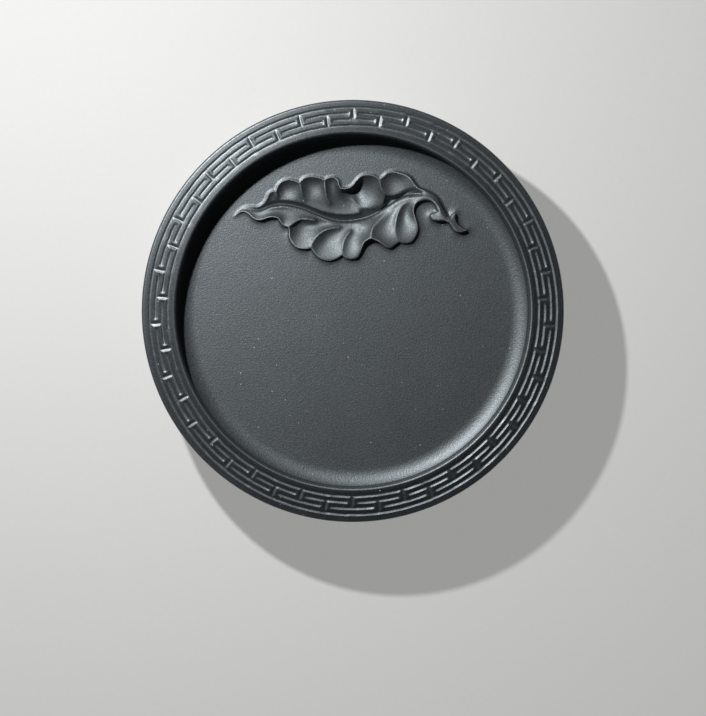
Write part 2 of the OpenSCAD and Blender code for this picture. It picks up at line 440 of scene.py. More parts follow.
@dataclass(frozen=True)
class FretRim:
    """The rim's band of interlocking T grooves, one unit of which is repeated round the stone."""

    form: StoneForm
    units: int = 23
    turn: float = math.radians(-0.22)
    ring_radii: tuple[float, ...] = (42.715, 41.435, 40.155, 38.875)
    outer_border: float = 43.40
    inner_border: float = 38.18
    groove_depth: float = 0.20
    bottom_shift: float = 0.075
    top_half: float = 0.525
    bottom_share: float = 0.10
    arm_stop: float = 0.90
    tip_share: float = 0.75
    row_steps: tuple[float, ...] = (0.56, 0.525, 0.49, 0.15, 0.09, -0.02,
                                    -0.25, -0.485, -0.525, -0.56)
    post_steps: tuple[float, ...] = (0.0, 0.14, 0.28, 0.41, 0.49, 0.54)
    stop_steps: tuple[float, ...] = (0.78, 0.88, 0.98, 1.12, 1.32)
    plain_columns: int = 1

    @property
    def unit_angle(self) -> float:
        """Angle that one unit of the fret takes up."""
        return FULL_TURN / self.units

    def half_columns(self, radius: float) -> Array:
        """Places the columns between the middle of an upper T and the next lower T.

        Args:
            radius: the row's radius.

        Returns:
            Angles from the middle of the upper T, both ends included.
        """
        near = np.array(self.post_steps + self.stop_steps)
        span = self.unit_angle / 2 * radius
        plain = np.linspace(near[-1], span - near[-1], self.plain_columns + 2)[1:-1]
        return np.concatenate([near, plain, (span - near)[::-1]]) / radius

    def unit_columns(self, radius: float) -> Array:
        """Angles of one unit's columns, both borders included."""
        half = self.half_columns(radius)
        return np.concatenate([-half[:0:-1], half])

    def all_angles(self, radius: float) -> Array:
        """Places the columns of the whole fret.

        Args:
            radius: the row's radius.

        Returns:
            The angle of every column round the stone, in rising order.
        """
        unit = self.unit_columns(radius)[:-1]
        starts = np.arange(self.units)[:, None] * self.unit_angle
        return (starts + unit[None, :]).ravel() + math.pi / 2 + self.turn

    def rows(self) -> Array:
        """Radii of the rows, from the outer border inwards."""
        rings = [radius + np.array(self.row_steps) for radius in self.ring_radii]
        return np.concatenate([[self.outer_border], *rings, [self.inner_border]])

    def across(self, offset: float) -> float:
        """Gives the distance across a ring's groove, whose outer wall is the steeper one.

        Args:
            offset: how far outside the groove's middle a point lies.

        Returns:
            The distance, stretched so that both of the groove's borders are at top_half.
        """
        from_bottom = offset - self.bottom_shift
        side = self.bottom_shift if from_bottom > 0 else -self.bottom_shift
        return abs(from_bottom) * self.top_half / (self.top_half - side)

    def cut(self, angle: Array, radius: float) -> Array:
        """Works out how deep the grooves are along a row.

        Args:
            angle: angles from the middle of the upper T.
            radius: the row's radius.

        Returns:
            The share of the full depth, from 0 to 1.
        """
        half = self.unit_angle / 2
        to_lower = (half - np.abs(angle)) * radius
        to_upper = np.abs(angle) * radius
        top, lower_arm, upper_arm, low = self.ring_radii
        tip = self.arm_stop + self.top_half * self.tip_share
        distances = [
            np.full_like(angle, self.across(radius - top)),
            np.full_like(angle, self.across(radius - low)),
            np.hypot(to_upper, max(upper_arm - radius, radius - top, 0)),
            np.hypot(to_lower, max(radius - lower_arm, low - radius, 0)),
            np.hypot(np.maximum(tip - to_lower, 0), self.across(radius - upper_arm)),
            np.hypot(np.maximum(tip - to_upper, 0), self.across(radius - lower_arm)),
        ]
        rise = np.min(distances, axis=0) / self.top_half - self.bottom_share
        return np.clip(1 - rise / (1 - self.bottom_share), 0, 1)

    def unit_patch(self) -> bpy.types.Mesh:
        """Makes the mesh of one unit.

        Returns:
            The mesh in metres, with the upper T on the +Y axis.
        """
        rows = self.rows()
        angles = [self.unit_columns(radius) for radius in rows]
        width = len(angles[0])
        points = []
        for radius, angle in zip(rows, angles):
            height = self.form.rim_height(radius) - self.groove_depth * self.cut(angle, radius)
            points.append(np.stack([-np.sin(angle) * radius, np.cos(angle) * radius, height], 1))
        faces = []
        for row in range(len(rows) - 1):
            for column in range(width - 1):
                a = row * width + column
                faces.append((a, a + 1, a + width + 1, a + width))
        mesh = bpy.data.meshes.new("fret_unit")
        mesh.from_pydata((np.concatenate(points) * MM).tolist(), [], faces)
        return mesh

    def repeat_tree(self) -> bpy.types.NodeTree:
        """Builds the node tree that repeats a unit round the axis.

        Returns:
            The tree, with the inputs Units, Turn, Weld and Finish.
        """
        tree = bpy.data.node_groups.new("fret_round", "GeometryNodeTree")
        sockets = tree.interface
        sockets.new_socket("Geometry", in_out="INPUT", socket_type="NodeSocketGeometry")
        sockets.new_socket("Geometry", in_out="OUTPUT", socket_type="NodeSocketGeometry")
        for label, kind in (("Units", "NodeSocketInt"), ("Turn", "NodeSocketFloat"),
                            ("Weld", "NodeSocketFloat"), ("Finish", "NodeSocketMaterial")):
            sockets.new_socket(label, in_out="INPUT", socket_type=kind)
        board = Board(tree)
        given = board.node("NodeGroupInput")
        step = board.maths("DIVIDE", FULL_TURN, given.outputs["Units"])
        around = board.maths("MULTIPLY", board.node("GeometryNodeInputIndex").outputs[0], step)
        turned = board.maths("ADD", around, given.outputs["Turn"])
        spin = board.node("ShaderNodeCombineXYZ", {"Z": turned})
        spots = board.node("GeometryNodeMeshLine", {"Count": given.outputs["Units"],
                                                    "Offset": (0.0, 0.0, 0.0)})
        copies = board.node("GeometryNodeInstanceOnPoints", {
            "Points": spots.outputs[0], "Instance": given.outputs["Geometry"],
            "Rotation": spin.outputs[0]})
        real = board.node("GeometryNodeRealizeInstances", {"Geometry": copies.outputs[0]})
        joined = board.node("GeometryNodeMergeByDistance", {
            "Geometry": real.outputs[0], "Distance": given.outputs["Weld"]})
        dressed = board.node("GeometryNodeSetMaterial", {
            "Geometry": joined.outputs[0], "Material": given.outputs["Finish"]})
        board.node("NodeGroupOutput", {"Geometry": dressed.outputs[0]})
        return tree

    def build(self, shell: Shell, finish: bpy.types.Material) -> None:
        """Adds the fret's band to the shell.

        Args:
            shell: where the faces go.
            finish: the material that the node tree sets.
        """
        unit = bpy.data.objects.new("fret_unit", self.unit_patch())
        bpy.context.scene.collection.objects.link(unit)
        tree = self.repeat_tree()
        repeat = unit.modifiers.new("round", "NODES")
        repeat.node_group = tree
        values = {"Units": self.units, "Turn": self.turn, "Weld": WELD_GAP * MM, "Finish": finish}
        for item in tree.interface.items_tree:
            if item.in_out == "INPUT" and item.name in values:
                repeat[item.identifier] = values[item.name]
        shown = unit.evaluated_get(bpy.context.evaluated_depsgraph_get())
        band = bpy.data.meshes.new_from_object(shown)
        unit.modifiers.remove(repeat)
        bpy.data.objects.remove(unit)
        points = points_of(band)
        start = int(shell.add(points)[0])
        for face in band.polygons:
            shell.faces.append(tuple(start + v for v in face.vertices))
        bpy.data.meshes.remove(band)
        log.info("fret band: %d units, %d points", self.units, len(points))


@dataclass(frozen=True)
class StoneBlock:
    """The block's foot, side and outer arris, up to the fret's outer border."""

    form: StoneForm
    fret: FretRim
    arris_steps: int = 6
    foot_steps: int = 4
    foot_radii: tuple[float, ...] = (16.0, 32.0)
    side_heights: tuple[float, ...] = (4.0, 8.0, 12.0, 15.5)
    fine_below: float = 0.9
    support_gap: float = 0.05

    def build(self, shell: Shell) -> None:
        """Adds the outside of the block to the shell.

        Args:
            shell: where the points and faces go.
        """
        form, even, fall = self.form, self.form.even_angles, self.form.fall_angle
        centre = int(shell.add(np.zeros((1, 3)))[0])
        rings = [shell.ring(even, radius, 0.0) for radius in self.foot_radii]
        shell.fan(rings[0], centre)
        inset = form.outer_radius - form.foot_arris
        for k in range(self.foot_steps + 1):
            turn = math.pi / 2 * k / self.foot_steps
            rings.append(shell.ring(even, inset + form.foot_arris * math.sin(turn),
                                    form.foot_arris * (1 - math.cos(turn))))
        middle = form.outer_radius - form.outer_arris
        crown = float(form.rim_height(middle)) - form.outer_arris / math.cos(fall)
        for height in (*self.side_heights, crown - self.fine_below):
            rings.append(shell.ring(even, form.outer_radius, height))
        shell.loft(rings)
        fine = self.fret.all_angles(self.fret.outer_border)
        upper = []
        for k in range(self.arris_steps + 1):
            turn = (math.pi / 2 - fall) * k / self.arris_steps
            upper.append(shell.ring(fine, middle + form.outer_arris * math.cos(turn),
                                    crown + form.outer_arris * math.sin(turn)))
        start = middle + form.outer_arris * math.sin(fall)
        for radius in (start - self.support_gap, self.fret.outer_border):
            upper.append(shell.ring(fine, radius, float(form.rim_height(radius))))
        shell.loft(upper)
        shell.stitch(rings[-1], even, upper[0], fine)
        log.info("block: %d rings", len(rings) + len(upper))


@dataclass(frozen=True)
class InkPool:
    """The pool's inner arris, leaning wall and cove, down to the border of the flat floor."""

    form: StoneForm
    fret: FretRim
    arris_steps: int = 6
    corner_steps: int = 5
    cove_steps: int = 12
    support_gap: float = 0.04

    def build(self, shell: Shell) -> None:
        """Adds the pool's wall to the shell.

        Args:
            shell: where the points and faces go.
        """
        form, even, fall = self.form, self.form.even_angles, self.form.fall_angle
        border = self.fret.inner_border
        fine = self.fret.all_angles(border)
        middle = form.wall_top_radius + form.inner_arris
        start = middle + form.inner_arris * math.sin(fall)
        crown = float(form.rim_height(start)) - form.inner_arris * math.cos(fall)
        upper = [shell.ring(fine, radius, float(form.rim_height(radius)))
                 for radius in (border, start + self.support_gap)]
        for k in range(self.arris_steps + 1):
            turn = (math.pi / 2 + fall) * k / self.arris_steps - fall
            upper.append(shell.ring(fine, middle - form.inner_arris * math.sin(turn),
                                    crown + form.inner_arris * math.cos(turn)))
        shell.loft(upper)
        rings = [shell.ring(even, radius, height)
                 for radius, height in form.pool_wall(self.corner_steps, self.cove_steps)]
        shell.loft(rings)
        shell.stitch(upper[-1], fine, rings[0], even)
        log.info("pool wall: %d rings", len(rings) + len(upper))


class Foot(Enum):
    """How the ground meets an edge of the leaf: its value is the share of the bevel."""

    DROP = 0.0
    BEVEL = 1.0


@dataclass(frozen=True)
class Edge:
    """A stretch of the leaf's outline, from where the one before it ends to its own last point."""

    line: Line
    foot: Foot


@dataclass(frozen=True)
class Scoop:
    """A hollow of the leaf, deepest near its middle.

    It leans towards the upper left by its lean, and one without depth keeps the leaf full there.
    """

    x: float
    y: float
    depth: float
    lean: float = 0.0


@dataclass(frozen=True)
class LeafCarving:
    """The curled leaf with its stem, cut down into the pool's floor and left standing at its edges.

    Heights are above the floor. X runs from the leaf's tip to its stem.
    """

    form: StoneForm
    # Way from the stone's axis to the drawing's origin, its shift in x and its enlargement
    place: float = 18.73
    slide: float = -0.085
    spread: float = 1.009
    # The outline runs from the tip along the lower edges to the stem and back along the upper ones
    tip: tuple[float, float, float] = (-24.8, 1.35, 0.1)
    edges: tuple[Edge, ...] = (
        Edge(((-23.85, 2.1, 0.5), (-22.85, 2.4, 0.75), (-21.7, 1.85, 0.95),
              (-20.9, 1.05, 1.1), (-20.0, 0.63, 1.15), (-19.2, 0.6, 1.25), (-17.4, 1.16, 1.4),
              (-16.35, 1.18, 1.4), (-15.5, 0.88, 1.3), (-15.05, 0.1, 1.15), (-14.4, -0.6, 1.0),
              (-13.45, -0.86, 1.2)), Foot.DROP),
        Edge(((-13.23, -1.85, 0.95), (-13.27, -2.7, 0.9),
              (-13.0, -3.6, 0.85), (-12.4, -4.5, 0.9), (-11.45, -5.25, 0.95),
              (-10.05, -5.5, 1.0), (-8.65, -5.3, 1.0)), Foot.DROP),
        Edge(((-7.6, -6.75, 0.85), (-6.3, -7.65, 0.85),
              (-4.75, -7.95, 0.8), (-3.45, -7.55, 0.85), (-2.15, -6.75, 1.0)), Foot.DROP),
        Edge(((-1.15, -7.4, 0.9), (-0.1, -7.6, 0.9), (0.95, -7.3, 1.0),
              (1.6, -6.35, 1.15), (1.95, -5.35, 1.4), (2.5, -4.15, 1.7), (3.25, -3.55, 1.95),
              (3.95, -3.3, 2.0)), Foot.DROP),
        Edge(((5.05, -3.7, 1.8), (6.15, -4.35, 1.5), (7.15, -5.05, 1.15),
              (7.95, -5.25, 1.0), (9.0, -4.55, 1.0), (9.85, -3.95, 1.05)), Foot.DROP),
        Edge(((10.85, -4.25, 0.9), (12.3, -4.0, 0.85),
              (13.25, -2.9, 0.85), (13.75, -1.45, 0.85), (13.6, -0.15, 0.9),
              (13.1, 1.35, 1.0), (12.85, 2.6, 1.1), (13.2, 3.85, 1.2), (14.2, 4.6, 1.2),
              (15.5, 4.8, 1.2), (16.7, 4.5, 1.3), (17.55, 3.6, 1.35), (18.05, 2.4, 1.4)),
             Foot.DROP),
        Edge(((17.5, 2.0, 1.4), (16.45, 1.55, 1.4), (16.8, 0.8, 1.5),
              (17.8, 0.5, 1.65), (19.25, 0.5, 1.7), (20.4, 0.0, 1.6)), Foot.DROP),
        Edge(((21.05, -0.85, 1.55), (21.8, -1.75, 1.5), (22.85, -1.95, 1.4),
              (23.95, -1.6, 1.2)), Foot.DROP),
        Edge(((23.05, -1.25, 1.3), (22.2, -0.5, 1.4), (21.6, 0.65, 1.4),
              (21.55, 1.95, 1.2)), Foot.DROP),
        Edge(((21.0, 1.5, 1.35), (20.55, 1.0, 1.4), (19.75, 1.25, 1.4)),
             Foot.DROP),
        Edge(((19.15, 2.45, 1.3), (18.5, 3.7, 1.15), (17.6, 5.15, 1.0),
              (16.4, 6.05, 0.9), (15.15, 6.7, 0.8), (13.9, 7.2, 0.8), (13.0, 8.1, 0.75),
              (12.3, 9.15, 0.7), (11.4, 9.9, 0.55), (10.0, 10.4, 0.4), (8.55, 10.7, 0.25),
              (7.3, 10.4, 0.22), (6.45, 9.65, 0.22), (5.65, 9.2, 0.22)), Foot.BEVEL),
        Edge(((4.45, 9.9, 0.22), (3.2, 10.1, 0.21), (1.95, 9.85, 0.21),
              (0.9, 8.85, 0.24), (0.05, 7.8, 0.27), (-1.15, 7.2, 0.3), (-2.45, 7.25, 0.32)),
             Foot.BEVEL),
        Edge(((-2.85, 7.95, 0.34), (-3.05, 8.85, 0.3), (-3.8, 9.5, 0.22),
              (-4.85, 9.5, 0.21), (-5.9, 9.0, 0.22)), Foot.BEVEL),
        Edge(((-7.0, 9.45, 0.21), (-8.5, 9.7, 0.21), (-9.95, 9.45, 0.21),
              (-11.1, 8.45, 0.22)), Foot.BEVEL),
        Edge(((-12.2, 8.85, 0.21), (-13.55, 9.05, 0.21), (-14.7, 8.7, 0.21),
              (-15.5, 7.95, 0.22), (-16.05, 6.6, 0.24)), Foot.BEVEL),
        Edge(((-16.8, 6.6, 0.22), (-17.45, 6.2, 0.22), (-17.95, 5.1, 0.24),
              (-18.65, 4.05, 0.22), (-19.8, 3.35, 0.22), (-21.1, 3.35, 0.21),
              (-22.4, 3.25, 0.19), (-23.65, 2.55, 0.14), (-24.8, 1.35, 0.08)), Foot.BEVEL),
    )
    # Crests between the lobes, then the folds of the eaten hole and of the last upper lobe
    crests: tuple[Line, ...] = (
        ((-13.45, -0.86, 1.2), (-12.8, -0.45, 1.15), (-11.95, 0.2, 0.95), (-10.9, 0.75, 0.7),
         (-9.55, 0.8, 0.45), (-7.95, 0.57, 0.1)),
        ((-12.75, -1.05, 0.3), (-12.0, -0.3, 0.05), (-11.0, 0.32, -0.1), (-9.8, 0.45, -0.1),
         (-8.7, 0.35, -0.1)),
        ((-8.65, -5.3, 1.0), (-8.4, -4.35, 0.95), (-7.85, -3.35, 0.85), (-6.9, -2.3, 0.65),
         (-5.65, -1.5, 0.35), (-3.9, -1.05, -0.05), (-2.7, -0.95, -0.35)),
        ((-2.15, -6.75, 1.0), (-2.05, -5.15, 0.9), (-1.7, -3.6, 0.55), (-1.0, -2.35, 0.15),
         (-0.4, -1.75, -0.1)),
        ((3.95, -3.3, 2.0), (3.95, -2.1, 1.5), (4.35, -0.9, 0.95), (5.2, 0.1, 0.5),
         (6.2, 1.2, 0.15), (7.15, 2.2, -0.1)),
        ((9.85, -3.95, 1.05), (9.25, -2.75, 1.05), (9.0, -1.15, 0.9), (9.15, 0.4, 0.7),
         (9.7, 2.3, 0.45), (10.5, 3.6, 0.4), (11.8, 4.35, 0.6)),
        ((-16.05, 6.6, 0.24), (-16.0, 5.8, 0.1), (-15.75, 5.2, -0.3)),
        ((-11.1, 8.45, 0.22), (-10.85, 7.55, 0.15), (-10.7, 6.45, -0.1), (-10.35, 5.35, -0.5),
         (-9.9, 4.75, -0.75)),
        ((-5.9, 9.0, 0.22), (-5.8, 7.65, 0.1), (-5.65, 6.35, -0.25), (-5.35, 5.05, -0.65),
         (-4.8, 4.1, -0.95)),
        ((5.65, 9.2, 0.22), (5.85, 8.2, 0.15), (6.1, 7.15, -0.05), (6.8, 6.2, -0.3)),
        ((-2.45, 7.25, 0.32), (-2.2, 6.3, -0.9), (-1.6, 5.5, -1.5), (-0.6, 5.2, -1.75),
         (0.2, 5.0, -1.75), (0.85, 4.1, -1.7), (1.8, 3.35, -1.6), (3.35, 3.1, -1.5),
         (4.95, 3.35, -1.4), (6.15, 3.85, -1.2), (6.75, 4.95, -0.8), (6.8, 6.2, -0.3)),
        ((-1.95, 6.8, -1.2), (-1.1, 6.75, -1.7), (0.1, 7.25, -2.0), (1.1, 8.3, -1.9),
         (1.9, 9.15, -1.3)),
        ((6.8, 6.2, -0.3), (7.6, 5.85, -0.5), (8.55, 5.8, -0.55), (9.8, 6.2, -0.45),
         (11.4, 7.0, -0.05), (12.75, 7.3, 0.45), (13.9, 7.2, 0.8)),
    )
    # The channel above the midrib: its bed, and the upper edges of its far wall
    valley: Line = (
        (-22.3, 2.85, 0.3), (-21.4, 2.85, 0.2), (-20.4, 2.8, 0.0), (-19.3, 2.88, -0.35),
        (-18.4, 3.24, -0.7), (-17.3, 3.72, -1.14), (-16.3, 3.96, -1.48), (-14.8, 4.08, -1.82),
        (-13.1, 3.92, -2.05), (-11.5, 3.52, -2.22), (-10.0, 3.06, -2.4), (-8.4, 2.41, -2.57),
        (-6.8, 1.75, -2.75), (-5.2, 1.17, -2.95), (-3.7, 0.79, -3.1), (-1.6, 0.6, -3.24),
        (0.5, 0.81, -3.28), (2.6, 1.22, -3.26), (4.8, 2.04, -3.16), (6.4, 3.1, -2.99),
        (7.9, 4.1, -2.77), (9.5, 5.1, -2.24), (11.1, 5.8, -1.42), (12.8, 6.18, -0.4),
        (14.5, 6.1, 0.4))
    shoulder: Line = (
        (-18.0, 4.0, -0.2), (-17.1, 4.61, -0.4), (-16.0, 4.85, -0.5), (-14.6, 4.95, -0.6),
        (-12.9, 4.78, -0.7), (-11.2, 4.4, -0.8), (-9.6, 3.95, -0.9), (-8.0, 3.3, -1.0),
        (-6.4, 2.7, -1.1), (-4.9, 2.29, -1.25), (-3.5, 2.06, -1.35), (-1.4, 1.95, -1.45),
        (0.4, 2.1, -1.55), (1.5, 2.35, -1.6))
    under_fold: Line = (
        (6.75, 4.6, -2.6), (7.3, 5.45, -2.4), (8.55, 5.5, -2.35), (9.8, 5.85, -2.1),
        (11.2, 6.55, -1.3), (12.4, 6.85, -0.5))
    # The crown of the midrib, which runs on as the stem and the twig
    rib: Line = (
        (-21.4, 2.4, 0.55), (-20.4, 2.25, 0.5), (-19.3, 2.33, 0.45), (-18.4, 2.64, 0.5),
        (-17.3, 3.09, 0.5), (-16.3, 3.3, 0.45), (-15.2, 3.37, 0.35), (-14.2, 3.32, 0.2),
        (-12.7, 3.11, 0.0), (-10.4, 2.56, -0.2), (-8.3, 1.7, -0.35), (-6.4, 0.87, -0.5),
        (-4.5, 0.16, -0.65), (-2.4, -0.2, -0.8), (-0.3, -0.2, -0.85), (1.8, 0.2, -0.8),
        (3.9, 0.9, -0.7), (5.8, 1.9, -0.5), (7.7, 3.1, -0.2), (9.6, 4.25, 0.15),
        (11.25, 4.95, 0.5), (12.95, 5.39, 0.85), (14.65, 5.45, 1.2), (16.1, 5.15, 1.35),
        (17.25, 4.3, 1.5), (18.1, 3.05, 1.6), (18.7, 1.8, 1.65), (19.55, 0.85, 1.65),
        (20.75, 0.25, 1.6), (21.6, -0.7, 1.5), (22.4, -1.4, 1.4))
    scoops: tuple[Scoop, ...] = (
        Scoop(-10.2, -2.6, 0.5, 0.8), Scoop(-5.4, -4.4, 0.65, 1.0), Scoop(0.1, -4.9, 0.32, 0.9),
        Scoop(6.6, -1.6, 0.42, 0.9), Scoop(11.3, -0.8, 0.45, 0.9), Scoop(-17.0, 5.2, 0.2, 0.5),
        Scoop(-13.2, 6.8, 0.65, 0.8), Scoop(-8.3, 7.0, 0.8, 0.9), Scoop(-4.2, 6.8, 0.8, 0.7),
        Scoop(-2.6, 4.2, 0.25), Scoop(0.3, 6.3, 0.6), Scoop(3.6, 6.4, 0.52, 0.8),
        Scoop(9.6, 8.3, 0.45, 0.5), Scoop(-14.0, 1.4, 0.3, 0.6), Scoop(-9.0, 1.4, 0.1),
        Scoop(18.0, 3.5, 0.0), Scoop(4.5, 1.9, 0.0))
    scoop_spread: float = 1.7
    lean_way: tuple[float, float] = (-0.64, 0.77)
    press_limits: tuple[float, float] = (-0.4, 4.0)
    least_bowl: float = 0.02
    # The lit flank above the crown: its widths and slopes at two places along x, and its reach
    flank_turns: tuple[float, float] = (3.0, 6.0)
    flank_widths: tuple[float, float] = (0.2, 0.45)
    flank_slopes: tuple[float, float] = (0.4, 0.36)
    flank_span: tuple[float, float] = (-15.5, 12.0)
    # Nicks along the crown, like the strands of a rope
    rope_span: tuple[float, float] = (-15.5, 3.0)
    rope_fade: float = 2.0
    nick_pitch: float = 0.6
    nick_depth: float = 0.055
    # Spacing of the samples and of the points between them
    sample: float = 0.15
    leaf_step: float = 0.18
    leaf_reach: float = 27.0
    leaf_clearance: float = 0.6
    # A bevelled foot's straight and eased widths, and each share of a drop with its run
    bank: tuple[float, float] = (0.25, 0.45)
    drops: tuple[tuple[float, float], ...] = ((0.6, 0.06), (0.4, 0.5))
    bevel_rounds: int = 12
    # Distances of the rings outside the outline, then limit, spacing and reach of each field
    foot_rings: tuple[float, ...] = (0.09, 0.2, 0.34)
    ring_clearance: float = 0.93
    ground_steps: tuple[tuple[float, float, float], ...] = (
        (1.2, 0.28, 31.0), (4.0, 0.6, 31.0), (99.0, 2.2, 70.0))
    ground_clearance: float = 0.55
    # How far each round of easing moves a point inside the outline and close to it
    ease_inside: float = 0.5
    ease_edge: float = 0.12
    edge_reach: float = 0.05
    ease_rounds: int = 2

    def drawn(self, line: Line) -> Array:
        """Draws a smooth line at the size and place that it has on the floor.

        Args:
            line: the points that it runs through, with their heights.

        Returns:
            The samples along it.
        """
        samples = smooth_line(line, self.sample)
        samples[:, :2] *= self.spread
        samples[:, 0] += self.slide
        return samples

    def outline(self) -> tuple[Array, Array]:
        """Draws the outline.

        Returns:
            The samples with their heights, and how far each one is bevelled, from 0 to 1.
        """
        parts, corner = [], self.tip
        for edge in self.edges:
            parts.append(self.drawn((corner, *edge.line))[:-1])
            corner = edge.line[-1]
        kind = np.concatenate([np.full(len(p), e.foot.value) for p, e in zip(parts, self.edges)])
        for _ in range(self.bevel_rounds):
            kind = (np.roll(kind, 1) + kind + np.roll(kind, -1)) / 3
        return np.vstack(parts), kind

    def roped_rib(self) -> list[Array]:
        """Draws the midrib's crown and the lit flank above it, both nicked like a rope.

        Returns:
            The samples of the two lines.
        """
        crown = self.drawn(self.rib)
        ahead = np.gradient(crown[:, :2], axis=0)
        ahead /= np.linalg.norm(ahead, axis=1)[:, None]
        run = np.arange(len(crown)) * self.sample
        start, end = self.rope_span
        share = np.clip((crown[:, 0] - start) / self.rope_fade, 0, 1)
        share = share * np.clip((end - crown[:, 0]) / self.rope_fade, 0, 1)
        nicks = share * self.nick_depth * np.sin(FULL_TURN * run / self.nick_pitch)
        slope = np.interp(crown[:, 0], self.flank_turns, self.flank_slopes)
        width = np.interp(crown[:, 0], self.flank_turns, self.flank_widths)
        flank = crown.copy()
        flank[:, 0] -= ahead[:, 1] * width
        flank[:, 1] += ahead[:, 0] * width
        flank[:, 2] += nicks - width * slope
        crown[:, 2] += nicks
        low, high = self.flank_span
        return [crown, flank[(flank[:, 0] > low) & (flank[:, 0] < high)]]

    def ground(self, distance: Array, edge: Array, bevel: Array) -> Array:
        """Shapes the ground outside an edge.

        Args:
            distance: distance from the edge.
            edge: the edge's height.
            bevel: 1 where the ground is bevelled and 0 where it drops.

        Returns:
            The ground's height above the floor.
        """
        drop = sum(part * np.exp(-distance / run) for part, run in self.drops)
        straight, eased = self.bank
        run = np.clip(straight - distance, 0, None)
        tail = np.clip((straight + eased - distance) / eased, 0, 1) ** 2 * eased / 2
        bank = (run + np.where(distance < straight, eased / 2, tail)) / (straight + eased / 2)
        return edge * (bevel * bank + (1 - bevel) * drop)

    def from_axis(self, points: Array) -> Array:
        """Distance of each point from the stone's axis."""
        return np.hypot(points[:, 0], points[:, 1] + self.place)

    def scatter(self, outline: Array, fixed: Array) -> Array:
        """Scatters points between the drawn lines, closest together in and near the leaf.

        Args:
            outline: x and y of the outline's samples.
            fixed: x and y of the samples of all drawn lines.

        Returns:
            The points' x and y.
        """
        step = outline - np.roll(outline, 1, axis=0)
        ahead = np.roll(step, -1, axis=0) + step
        normal = np.stack([ahead[:, 1], -ahead[:, 0]], 1) / np.linalg.norm(ahead, axis=1)[:, None]
        rings = []
        for gap in self.foot_rings:
            ring = outline + normal * gap
            rings.append(ring[nearest(ring, outline)[1] > gap * self.ring_clearance])
        marks = np.vstack([fixed, *rings])
        grid = hex_points(self.leaf_reach, self.leaf_step)
        grid = grid[inside(grid, outline)]
        fields = [grid[nearest(grid, fixed)[1] > self.leaf_step * self.leaf_clearance]]
        low = self.foot_rings[-1]
        for limit, spacing, reach in self.ground_steps:
            grid = hex_points(reach, spacing)
            grid = grid[self.from_axis(grid) < self.form.floor_radius - spacing / 2]
            away = nearest(grid, outline)[1]
            grid = grid[(away > low) & (away <= limit)]
            grid = grid[~inside(grid, outline)]
            fields.append(grid[nearest(grid, marks)[1] > spacing * self.ground_clearance])
            low = limit
        return np.vstack([*rings, *fields])

    def triangulate(self, outline: Array, lines: list[Array],
                    fixed: Array) -> tuple[Array, Array, Array]:
        """Covers the floor with triangles whose sides follow the drawn lines.

        Args:
            outline: x and y of the outline's samples.
            lines: the samples of each line within it.
            fixed: x and y of all these samples, the outline's first.

        Returns:
            The points, the triangles, and each point's number among the samples. A number from
            the samples' count on, or -1, is that of no sample.
        """
        border = around(self.form.even_angles, self.form.floor_radius)
        border[:, 1] -= self.place
        chains, start = [], len(outline)
        for line in lines:
            chains += [(start + k, start + k + 1) for k in range(len(line) - 1)]
            start += len(line)
        chains += [(k, (k + 1) % len(outline)) for k in range(len(outline))]
        flat = np.vstack([fixed, self.scatter(outline, fixed), border])
        made = delaunay_2d_cdt([Vector(p) for p in flat], chains, [], 0, 1e-5)
        return (np.array([tuple(v) for v in made[0]]), np.array([tuple(f) for f in made[2]]),
                np.array([o[0] if len(o) else -1 for o in made[3]]))

    def sunk(self, sheet: Membrane, points: Array, held: Array) -> Array:
        """Works out how far the scoops sink each point.

        Args:
            sheet: the sheet of these points.
            points: rows of x and y.
            held: True where a point keeps its height.

        Returns:
            The depth at each point. A scoop's load is heavier on the side that it leans to.
        """
        table = np.array([(s.x, s.y, s.depth, s.lean) for s in self.scoops])
        centres, depths, leans = table[:, :2], table[:, 2], table[:, 3]
        gaps = points[:, None, :] - centres[None]
        weights = np.exp(-(gaps ** 2).sum(2) / (2 * self.scoop_spread ** 2)) + 1e-9
        pressed = np.clip(1 + leans * (gaps @ np.array(self.lean_way)), *self.press_limits)
        load = (weights * pressed).sum(1) / weights.sum(1)
        bowl = sheet.solve(np.zeros(len(points)), held, load)
        here = nearest(centres, points)[0]
        strength = depths / np.maximum(bowl[here], self.least_bowl)
        return bowl * ((weights * strength).sum(1) / weights.sum(1))

    def build(self, shell: Shell) -> None:
        """Adds the floor with the leaf to the shell.

        Args:
            shell: where the points and faces go.
        """
        outline, bevel = self.outline()
        lines = [self.drawn(line) for line in (*self.crests, self.valley, self.shoulder,
                                               self.under_fold)]
        lines += self.roped_rib()
        fixed = np.vstack([outline, *lines])
        border = outline[:, :2]
        points, triangles, number = self.triangulate(border, lines, fixed[:, :2])

        known = (number >= 0) & (number < len(fixed))
        which, away = nearest(points, border)
        within = inside(points, border) & (away > 1e-4)
        held = ~within | known
        height = np.zeros(len(points))
        height[known] = fixed[number[known], 2]
        outside = ~within & ~known
        height[outside] = self.ground(away, outline[which, 2], bevel[which])[outside]
        height[self.from_axis(points) > self.form.floor_radius - 1e-3] = 0.0

        sheet = Membrane(points, triangles)
        stretched = sheet.solve(height, held, 0.0)
        height = np.where(held, height, stretched - self.sunk(sheet, points, held))
        share = np.where(within, self.ease_inside,
                         np.where(away < self.edge_reach, self.ease_edge, 0.0))
        height = sheet.eased(height, share, self.ease_rounds)
        numbers = shell.add(np.column_stack([points[:, 0], points[:, 1] + self.place,
                                             height + self.form.floor_height]))
        shell.faces += [tuple(int(numbers[k]) for k in face) for face in triangles]
        log.info("leaf and floor: %d points, lowest %.2f mm", len(points), height.min())


